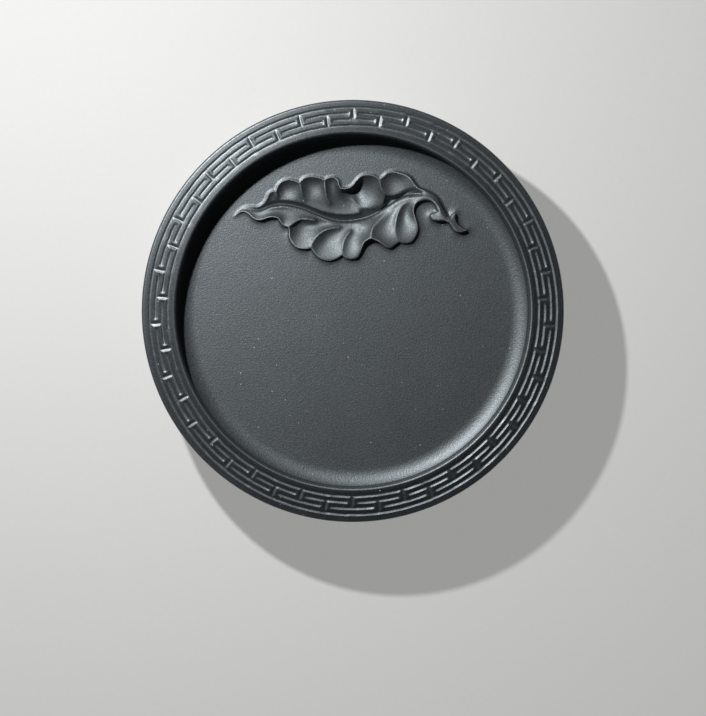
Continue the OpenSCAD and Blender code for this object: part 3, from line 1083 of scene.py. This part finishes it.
class Board:
    """Short calls that lay out the nodes of one tree."""

    def __init__(self, tree: bpy.types.NodeTree) -> None:
        """Keeps the tree that the nodes are added to."""
        self.tree = tree

    def node(self, kind: str, inputs: dict[Any, Any] | None = None, **settings: Any) -> bpy.types.Node:
        """Adds a node.

        Args:
            kind: the node's type.
            inputs: for each input's name or number, a socket to link or a value.
            settings: properties of the node.

        Returns:
            The new node.
        """
        made = self.tree.nodes.new(kind)
        for label, value in settings.items():
            setattr(made, label, value)
        for label, value in (inputs or {}).items():
            if isinstance(value, bpy.types.NodeSocket):
                self.tree.links.new(value, made.inputs[label])
            else:
                made.inputs[label].default_value = value
        return made

    def maths(self, operation: str, *values: Any, clamp: bool = False) -> bpy.types.NodeSocket:
        """Adds a Math node.

        Args:
            operation: what it does.
            values: the socket or number of each input.
            clamp: whether the result is held from 0 to 1.

        Returns:
            The node's output.
        """
        made = self.node("ShaderNodeMath", dict(enumerate(values)), operation=operation)
        made.use_clamp = clamp
        return made.outputs[0]

    def product(self, first: Any, second: Any, clamp: bool = False) -> bpy.types.NodeSocket:
        """Multiplies two values."""
        return self.maths("MULTIPLY", first, second, clamp=clamp)

    def total(self, first: Any, second: Any, clamp: bool = False) -> bpy.types.NodeSocket:
        """Adds two values."""
        return self.maths("ADD", first, second, clamp=clamp)

    def span(self, value: bpy.types.NodeSocket, source: tuple[float, float],
             result: tuple[float, float] = (0.0, 1.0)) -> bpy.types.NodeSocket:
        """Maps a value from one span to another, held within it.

        Args:
            value: the socket that is read.
            source: the ends of its span.
            result: what the ends become.

        Returns:
            The mapped value.
        """
        return self.node("ShaderNodeMapRange", {
            "Value": value, "From Min": source[0], "From Max": source[1],
            "To Min": result[0], "To Max": result[1]}).outputs["Result"]

    def noise(self, place: bpy.types.NodeSocket, scale: float, detail: float,
              roughness: float) -> bpy.types.NodeSocket:
        """Adds a noise texture.

        Args:
            place: where it is read.
            scale: its lumps to a metre.
            detail: how many finer layers it has.
            roughness: how strong each finer layer is.

        Returns:
            The noise, from 0 to 1.
        """
        return self.node("ShaderNodeTexNoise", {
            "Vector": place, "Scale": scale, "Detail": detail,
            "Roughness": roughness}).outputs[0]

    def attribute(self, name: str) -> bpy.types.NodeSocket:
        """Reads a value that is stored on the mesh's points."""
        return self.node("ShaderNodeAttribute", attribute_name=name).outputs["Fac"]

    def blend(self, share: Any, first: Any, second: Any, mode: str = "MIX") -> bpy.types.NodeSocket:
        """Mixes two colours.

        Args:
            share: how much of the second there is.
            first: the first colour, as a socket or a value.
            second: the second colour.
            mode: how they are blended.

        Returns:
            The mixed colour.
        """
        made = self.node("ShaderNodeMix", data_type="RGBA", blend_type=mode)
        for number, value in ((0, share), (6, first), (7, second)):
            if isinstance(value, bpy.types.NodeSocket):
                self.tree.links.new(value, made.inputs[number])
            else:
                made.inputs[number].default_value = value if number == 0 else (*value, 1.0)
        return made.outputs[2]


def new_material(name: str) -> tuple[bpy.types.Material, Board]:
    """Starts a material.

    Args:
        name: the material's name.

    Returns:
        The material, and the board of its empty node tree.
    """
    material = bpy.data.materials.new(name)
    material.use_nodes = True
    material.node_tree.nodes.clear()
    return material, Board(material.node_tree)


@dataclass(frozen=True)
class HonedSlate:
    """Dark slate: honed where the hand and the ink stick rub it, rougher where it was cut, and lighter
    on convex edges, partly as wear and partly as a painted highlight.
    """

    dark: Colour = (0.012, 0.0145, 0.0165)
    light: Colour = (0.029, 0.034, 0.038)
    # Lighter colour for convex edges and crests: partly wear, partly a painted highlight
    wear_and_highlight: Colour = (0.42, 0.44, 0.45)
    fleck: Colour = (0.62, 0.64, 0.65)
    tint: Colour = (0.86, 0.95, 1.0)
    cloud_scale: float = 95.0
    cloud_share: float = 0.45
    grain_scale: float = 2900.0
    grain_share: float = 0.65
    fine_scale: float = 4300.0
    tone_span: tuple[float, float] = (0.35, 0.75)
    fine_span: tuple[float, float] = (0.3, 0.7)
    noise_roughness: float = 0.6
    fleck_scale: float = 1050.0
    fleck_size: tuple[float, float] = (0.05, 0.17)
    fleck_pick: tuple[float, float] = (0.93, 0.99)
    fleck_share: float = 0.8
    # How convex a point must be for the lighter edge colour, its change with fine noise, and its
    # share: partly wear, partly painted highlight
    wear_and_highlight_bend: tuple[float, float] = (0.10, 0.40)
    wear_and_highlight_range: tuple[float, float] = (0.55, 1.0)
    wear_and_highlight_share: float = 0.75
    roughness: float = 0.48
    roughness_span: tuple[float, float] = (0.2, 0.8)
    roughness_range: tuple[float, float] = (-0.06, 0.06)
    rim_rougher: float = -0.02
    carved_rougher: float = 0.07
    refraction: float = 1.75
    floor_sheen: float = 0.82
    groove_sheen: float = 1.0
    land_sheen: float = 0.29
    land_cut: tuple[float, float] = (0.02, 0.15)
    sheen_range: tuple[float, float] = (0.72, 1.26)
    grain_depth: float = 0.07
    relief_shares: tuple[float, float] = (0.7, 0.3)
    relief_strength: tuple[float, float] = (0.8, 0.5)

    def make(self) -> bpy.types.Material:
        """Builds the material.

        Returns:
            The slate, which reads the values that InkStone.mark stores on the mesh.
        """
        material, board = new_material("honed_slate")
        place = board.node("ShaderNodeTexCoord").outputs["Object"]
        clouds = board.noise(place, self.cloud_scale, 3.0, self.noise_roughness)
        grain = board.noise(place, self.grain_scale, 2.0, self.noise_roughness)
        fine = board.noise(place, self.fine_scale, 2.0, self.noise_roughness)
        rim = board.attribute("rim")

        cells = board.node("ShaderNodeTexVoronoi", {"Vector": place, "Scale": self.fleck_scale})
        dot = board.span(cells.outputs["Distance"], self.fleck_size, (1.0, 0.0))
        chosen = board.node("ShaderNodeSeparateColor", {0: cells.outputs["Color"]}).outputs[0]
        lit = board.product(dot, board.span(chosen, self.fleck_pick))

        tone = board.total(board.product(clouds, self.cloud_share),
                           board.product(grain, self.grain_share))
        stone = board.blend(board.span(tone, self.tone_span), self.dark, self.light)
        # Lightens convex edges and crests: partly wear, partly a painted highlight along them
        wear_and_highlight_mask = board.product(board.span(board.attribute("edge"), self.wear_and_highlight_bend),
                               board.span(fine, self.fine_span, self.wear_and_highlight_range))
        stone = board.blend(board.product(wear_and_highlight_mask, self.wear_and_highlight_share), stone, self.wear_and_highlight)
        stone = board.blend(board.product(lit, self.fleck_share), stone, self.fleck)

        rough = board.total(board.span(grain, self.roughness_span, self.roughness_range),
                            self.roughness)
        rough = board.total(rough, board.product(rim, self.rim_rougher))
        carved = board.product(board.attribute("carved"), self.carved_rougher)
        rough = board.total(rough, carved, clamp=True)
        dull = board.product(board.attribute("land"),
                             board.span(board.attribute("cut"), self.land_cut, (1.0, 0.0)))
        honed = board.span(rim, (0.0, 1.0), (self.floor_sheen, self.groove_sheen))
        change = self.land_sheen - self.groove_sheen
        sheen = board.product(board.total(honed, board.product(dull, change)),
                              board.span(fine, self.fine_span, self.sheen_range), clamp=True)

        coarse_share, fine_share = self.relief_shares
        relief = board.total(board.product(grain, coarse_share), board.product(fine, fine_share))
        bump = board.node("ShaderNodeBump", {
            "Strength": board.span(rim, (0.0, 1.0), self.relief_strength),
            "Distance": self.grain_depth * MM, "Height": relief})
        surface = board.node("ShaderNodeBsdfPrincipled", {
            "Base Color": stone, "Roughness": rough, "Normal": bump.outputs[0],
            "IOR": self.refraction, "Specular IOR Level": sheen,
            "Specular Tint": (*self.tint, 1.0)})
        board.node("ShaderNodeOutputMaterial", {"Surface": surface.outputs[0]})
        return material


@dataclass(frozen=True)
class PaleFloor:
    """Plain pale paper that the stone lies on."""

    colour: Colour = (0.72, 0.72, 0.71)
    fibre_shade: float = 0.985
    fibre_scale: float = 900.0
    fibre_span: tuple[float, float] = (0.3, 0.7)
    roughness: float = 0.9
    lit_share: float = 0.55

    def make(self) -> bpy.types.Material:
        """Builds the material.

        Returns:
            The paper, part of whose lightness doesn't depend on the lamps.
        """
        material, board = new_material("pale_paper")
        place = board.node("ShaderNodeTexCoord").outputs["Object"]
        fibres = board.noise(place, self.fibre_scale, 3.0, 0.5)
        tint = board.blend(board.span(fibres, self.fibre_span), self.colour,
                           tuple(c * self.fibre_shade for c in self.colour))
        paper = board.node("ShaderNodeBsdfPrincipled",
                           {"Base Color": tint, "Roughness": self.roughness})
        glow = board.node("ShaderNodeEmission", {"Color": tint, "Strength": 1.0})
        path = board.node("ShaderNodeLightPath").outputs
        seen = board.maths("MAXIMUM", path["Is Camera Ray"], board.maths(
            "MAXIMUM", path["Is Glossy Ray"], path["Is Transmission Ray"]))
        mixed = board.node("ShaderNodeMixShader", {
            0: board.product(seen, 1 - self.lit_share), 1: paper.outputs[0], 2: glow.outputs[0]})
        board.node("ShaderNodeOutputMaterial", {"Surface": mixed.outputs[0]})
        return material


@dataclass(frozen=True)
class InkStone:
    """The whole ink stone."""

    form: StoneForm = StoneForm()
    slate: HonedSlate = HonedSlate()
    sway: tuple[Waver, Waver] = (Waver(2.2, 11), Waver(2.2, 12))
    sway_reach: float = 0.035
    groove_change: Waver = Waver(2.8, 13)
    groove_share: float = 0.16
    band_fade: float = 0.3
    above_pool: float = 2.0
    carved_fade: float = 0.3
    carved_inset: float = 0.5
    honed_inset: float = 0.3
    honed_fade: float = 0.4
    land_fade: float = 0.1

    def build(self) -> bpy.types.Object:
        """Builds the carved stone and dresses it.

        Returns:
            The finished piece.
        """
        finish = self.slate.make()
        fret = FretRim(self.form)
        shell = Shell()
        StoneBlock(self.form, fret).build(shell)
        fret.build(shell, finish)
        InkPool(self.form, fret).build(shell)
        LeafCarving(self.form).build(shell)
        mesh = shell.welded("ink_stone_carved")
        mesh.materials.append(finish)
        self.unsettle(mesh, fret)
        self.mark(mesh, fret)
        mesh.shade_smooth()
        piece = bpy.data.objects.new("ink_stone_carved", mesh)
        bpy.context.scene.collection.objects.link(piece)
        log.info("ink_stone_carved: %d points, %d faces", len(mesh.vertices), len(mesh.polygons))
        return piece

    def unsettle(self, mesh: bpy.types.Mesh, fret: FretRim) -> None:
        """Gives the fret the small unevenness of hand cutting.

        Args:
            mesh: the welded stone.
            fret: the fret whose band is moved.
        """
        points = points_of(mesh)
        radius = np.hypot(points[:, 0], points[:, 1])
        band = np.clip((fret.outer_border - radius) / self.band_fade, 0, 1)
        band *= np.clip((radius - fret.inner_border) / self.band_fade, 0, 1)
        band *= points[:, 2] > self.form.floor_height + self.above_pool
        for axis, waver in enumerate(self.sway):
            points[:, axis] += band * self.sway_reach * waver.at(points)
        below = np.clip(self.form.rim_height(radius) - points[:, 2], 0, 1)
        points[:, 2] -= band * below * self.groove_share * self.groove_change.at(points)
        mesh.vertices.foreach_set("co", (points * MM).ravel())

    def mark(self, mesh: bpy.types.Mesh, fret: FretRim) -> None:
        """Stores on each point what the finish needs to know.

        Args:
            mesh: the welded stone.
            fret: the fret whose grooves are marked.
        """
        points, form = points_of(mesh), self.form
        mesh.update()
        normals = np.array([v.vector for v in mesh.vertex_normals])
        pairs = np.array([e.vertices for e in mesh.edges])
        gap = points[pairs[:, 0]] - points[pairs[:, 1]]
        length = np.maximum(np.linalg.norm(gap, axis=1), 1e-6)
        bend = np.zeros(len(points))
        for one, sign in ((0, 1.0), (1, -1.0)):
            rise = sign * (normals[pairs[:, one]] * gap).sum(1) / length
            bend += np.bincount(pairs[:, one], rise, len(points))
        bend /= np.bincount(pairs.ravel(), minlength=len(points))
        radius, height = np.hypot(points[:, 0], points[:, 1]), points[:, 2]
        past_peak = radius - form.rim_peak_radius
        cut = np.clip((form.rim_height(radius) - height) / fret.groove_depth, 0, 1)
        cut *= (past_peak > 0) & (height > form.floor_height) & (radius < fret.outer_border)
        carved = np.clip(np.abs(height - form.floor_height) / self.carved_fade, 0, 1)
        carved *= radius < form.floor_radius - self.carved_inset
        honed = np.clip((past_peak + self.honed_inset) / self.honed_fade, 0, 1)
        honed *= height > form.floor_height + self.above_pool
        from_side = form.outer_radius - form.outer_arris - radius
        land = honed * np.clip(from_side / self.land_fade + 1, 0, 1)
        land *= np.clip(past_peak / self.land_fade, 0, 1)
        stores = {"edge": bend, "cut": cut, "carved": carved, "rim": honed, "land": land}
        for name, values in stores.items():
            stored = mesh.attributes.new(name, "FLOAT", "POINT")
            stored.data.foreach_set("value", values.astype(np.float32))


@dataclass(frozen=True)
class Studio:
    """The lamp, the pale floor and the camera straight above."""

    lens: float = 150.0
    sensor: float = 36.0
    clip: tuple[float, float] = (0.01, 20.0)
    frame_height: float = 150.6
    camera_x: float = 0.045
    camera_y: float = -9.92
    top: float = 20.0
    lamp_way: tuple[float, float, float] = (-0.4175, 0.4975, 0.7604)
    lamp_distance: float = 230.0
    lamp_width: float = 10.0
    lamp_level: float = 1.0
    fill: float = 0.014
    floor_size: float = 3000.0
    floor_drop: float = 0.02

    def build(self) -> None:
        """Adds the camera, the lights and the floor to the scene."""
        scene = bpy.context.scene
        distance = self.lens * self.frame_height / self.sensor
        view = bpy.data.cameras.new("camera")
        view.lens, view.sensor_width = self.lens, self.sensor
        view.clip_start, view.clip_end = self.clip
        scene.camera = self.placed("camera", view)
        scene.camera.location = (self.camera_x * MM, self.camera_y * MM,
                                 (self.top + distance) * MM)

        way = Vector(self.lamp_way).normalized()
        lamp = bpy.data.lights.new("key", "AREA")
        lamp.shape, lamp.size = "DISK", self.lamp_width * MM
        reach = self.lamp_distance * MM
        lamp.energy = self.lamp_level * math.pi ** 2 * reach ** 2 / way.z
        key = self.placed("key", lamp)
        key.location = way * reach + Vector((0, 0, self.top * MM))
        key.rotation_euler = way.to_track_quat("Z", "Y").to_euler()

        world = bpy.data.worlds.new("room")
        world.use_nodes = True
        room = world.node_tree.nodes["Background"].inputs
        room["Color"].default_value = (1.0, 1.0, 1.0, 1.0)
        room["Strength"].default_value = self.fill
        scene.world = world
        scene.view_settings.view_transform = "Standard"

        half, low = self.floor_size / 2 * MM, -self.floor_drop * MM
        corners = ((-half, -half), (half, -half), (half, half), (-half, half))
        sheet = bpy.data.meshes.new("floor")
        sheet.from_pydata([(x, y, low) for x, y in corners], [], [(0, 1, 2, 3)])
        sheet.materials.append(PaleFloor().make())
        self.placed("floor", sheet)

    @staticmethod
    def placed(name: str, data: Any) -> bpy.types.Object:
        """Adds an object to the scene.

        Args:
            name: the object's name.
            data: its camera, lamp or mesh.

        Returns:
            The new object.
        """
        made = bpy.data.objects.new(name, data)
        bpy.context.scene.collection.objects.link(made)
        return made


def main() -> None:
    """Builds the stone and its studio, puts the stone under the root body and hides the imported
    ink_stone piece.
    """
    logging.basicConfig(level=logging.INFO, format="%(name)s: %(message)s")
    Studio().build()
    stone = InkStone().build()
    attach(stone, "root")
    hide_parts("ink_stone")


if __name__ == "__main__":
    main()
